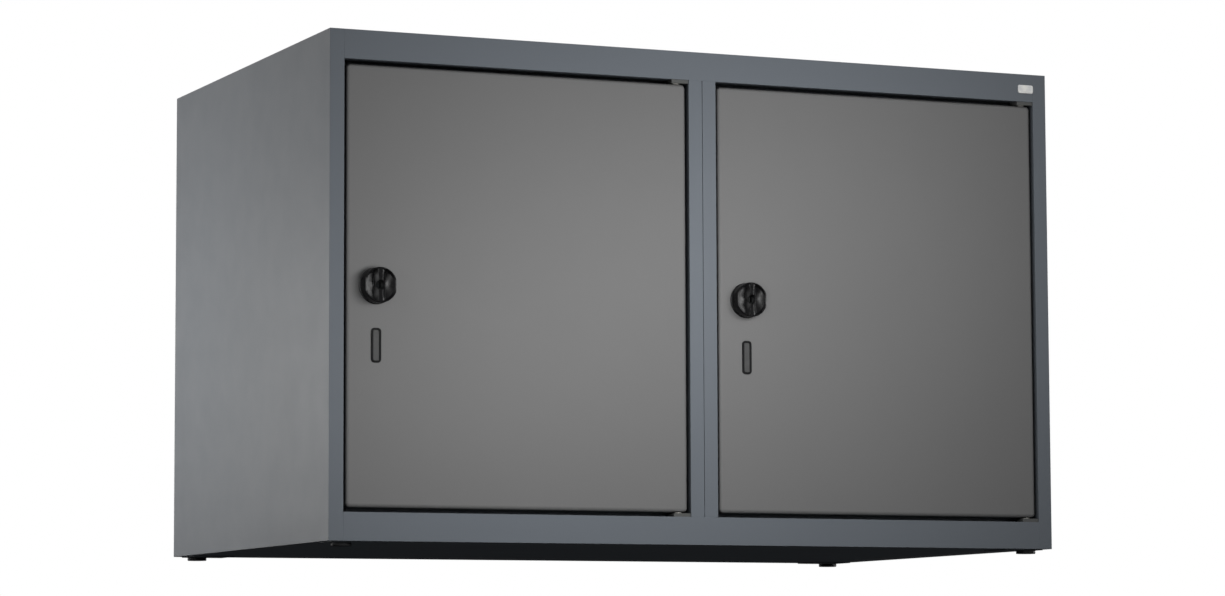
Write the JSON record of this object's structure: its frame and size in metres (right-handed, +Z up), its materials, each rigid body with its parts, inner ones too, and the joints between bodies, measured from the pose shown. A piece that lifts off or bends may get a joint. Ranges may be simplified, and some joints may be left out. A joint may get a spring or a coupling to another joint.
{
  "type": "two-door steel locker box",
  "caption": "Sheet-steel locker box with side-hinged inset doors, turn-knob cam locks, narrow label holders and low round feet.",
  "frame": {"origin": "middle of the overall footprint, knobs included, on the plane that the feet stand on", "axes": "+X along the width, to the right seen from the front; +Y from the doors to the back; +Z up"},
  "size_m": [0.8, 0.5116, 0.5045],
  "materials": {
    "frame_paint": "slate blue-grey powder coat, satin",
    "door_paint": "neutral grey powder coat, satin",
    "foot_plastic": "black moulded plastic",
    "lock_plastic": "black moulded plastic",
    "knob_plastic": "black moulded plastic, semi-gloss",
    "lock_metal": "dark plated metal",
    "label_rim": "black moulded plastic",
    "label_insert": "grey blank insert",
    "badge": "satin, blank",
    "plain_steel": "zinc plated",
    "rubber": "black rubber",
    "nylon": "natural nylon"
  },
  "bodies": {
    "carcass": {"left_side_panel": "frame_paint", "right_side_panel": "frame_paint", "top_panel": "frame_paint", "bottom_panel": "frame_paint", "back_panel": "frame_paint", "left_partition": "frame_paint", "right_partition": "frame_paint", "partition_rivets": "frame_paint", "back_rivets": "frame_paint", "foot_plates": "frame_paint", "front_left_foot": "foot_plastic", "front_right_foot": "foot_plastic", "rear_left_foot": "foot_plastic", "rear_right_foot": "foot_plastic", "blank_badge": "badge", "left_upper_bracket": "door_paint", "left_lower_bracket": "door_paint", "right_upper_bracket": "door_paint", "right_lower_bracket": "door_paint", "left_upper_pin": "plain_steel", "left_lower_pin": "plain_steel", "right_upper_pin": "plain_steel", "right_lower_pin": "plain_steel", "left_door_buffers": "rubber", "right_door_buffers": "rubber"},
    "left_leaf": {"left_door": "door_paint", "left_door_stiffener": "door_paint", "left_upper_bush": "nylon", "left_lower_bush": "nylon", "left_lock_housing": "lock_plastic", "left_lock_nut": "plain_steel", "left_label_frame": "label_rim", "left_label_insert": "label_insert"},
    "left_turning_knob": {"left_knob": "knob_plastic", "left_cam": "plain_steel", "left_cam_screw": "plain_steel"},
    "left_key_core": {"left_key_cylinder": "lock_metal"},
    "left_pawl": {"left_locking_pawl": "plain_steel"},
    "right_leaf": {"right_door": "door_paint", "right_door_stiffener": "door_paint", "right_upper_bush": "nylon", "right_lower_bush": "nylon", "right_lock_housing": "lock_plastic", "right_lock_nut": "plain_steel", "right_label_frame": "label_rim", "right_label_insert": "label_insert"},
    "right_turning_knob": {"right_knob": "knob_plastic", "right_cam": "plain_steel", "right_cam_screw": "plain_steel"},
    "right_key_core": {"right_key_cylinder": "lock_metal"},
    "right_pawl": {"right_locking_pawl": "plain_steel"}
  },
  "joints": [
    {"name": "left_door_hinge", "type": "hinge", "parent": "carcass", "child": "left_leaf", "pos_m": [-0.0265, -0.23525, 0.2545], "axis": [0, 0, 1], "range_deg": [0, 110]},
    {"name": "left_knob_turn", "type": "hinge", "parent": "left_leaf", "child": "left_turning_knob", "pos_m": [-0.351, -0.24225, 0.253], "axis": [0, 1, 0], "range_deg": [0, 90]},
    {"name": "left_key_turn", "type": "hinge", "parent": "left_turning_knob", "child": "left_key_core", "pos_m": [-0.351, -0.24225, 0.253], "axis": [0, 1, 0], "range_deg": [0, 90]},
    {"name": "left_pawl_slide", "type": "slide", "parent": "left_turning_knob", "child": "left_pawl", "axis": [0, 0, 1], "range_m": [0, 0.0018]},
    {"name": "right_door_hinge", "type": "hinge", "parent": "carcass", "child": "right_leaf", "pos_m": [0.3735, -0.23525, 0.2545], "axis": [0, 0, 1], "range_deg": [0, 110]},
    {"name": "right_knob_turn", "type": "hinge", "parent": "right_leaf", "child": "right_turning_knob", "pos_m": [0.049, -0.24225, 0.253], "axis": [0, 1, 0], "range_deg": [0, 90]},
    {"name": "right_key_turn", "type": "hinge", "parent": "right_turning_knob", "child": "right_key_core", "pos_m": [0.049, -0.24225, 0.253], "axis": [0, 1, 0], "range_deg": [0, 90]},
    {"name": "right_pawl_slide", "type": "slide", "parent": "right_turning_knob", "child": "right_pawl", "axis": [0, 0, 1], "range_m": [0, 0.0018]}
  ],
  "couplings": [
    {"joint": "left_pawl_slide", "follows": "left_key_turn", "m_per_rad": 0.001145},
    {"joint": "right_pawl_slide", "follows": "right_key_turn", "m_per_rad": 0.001145}
  ]
}
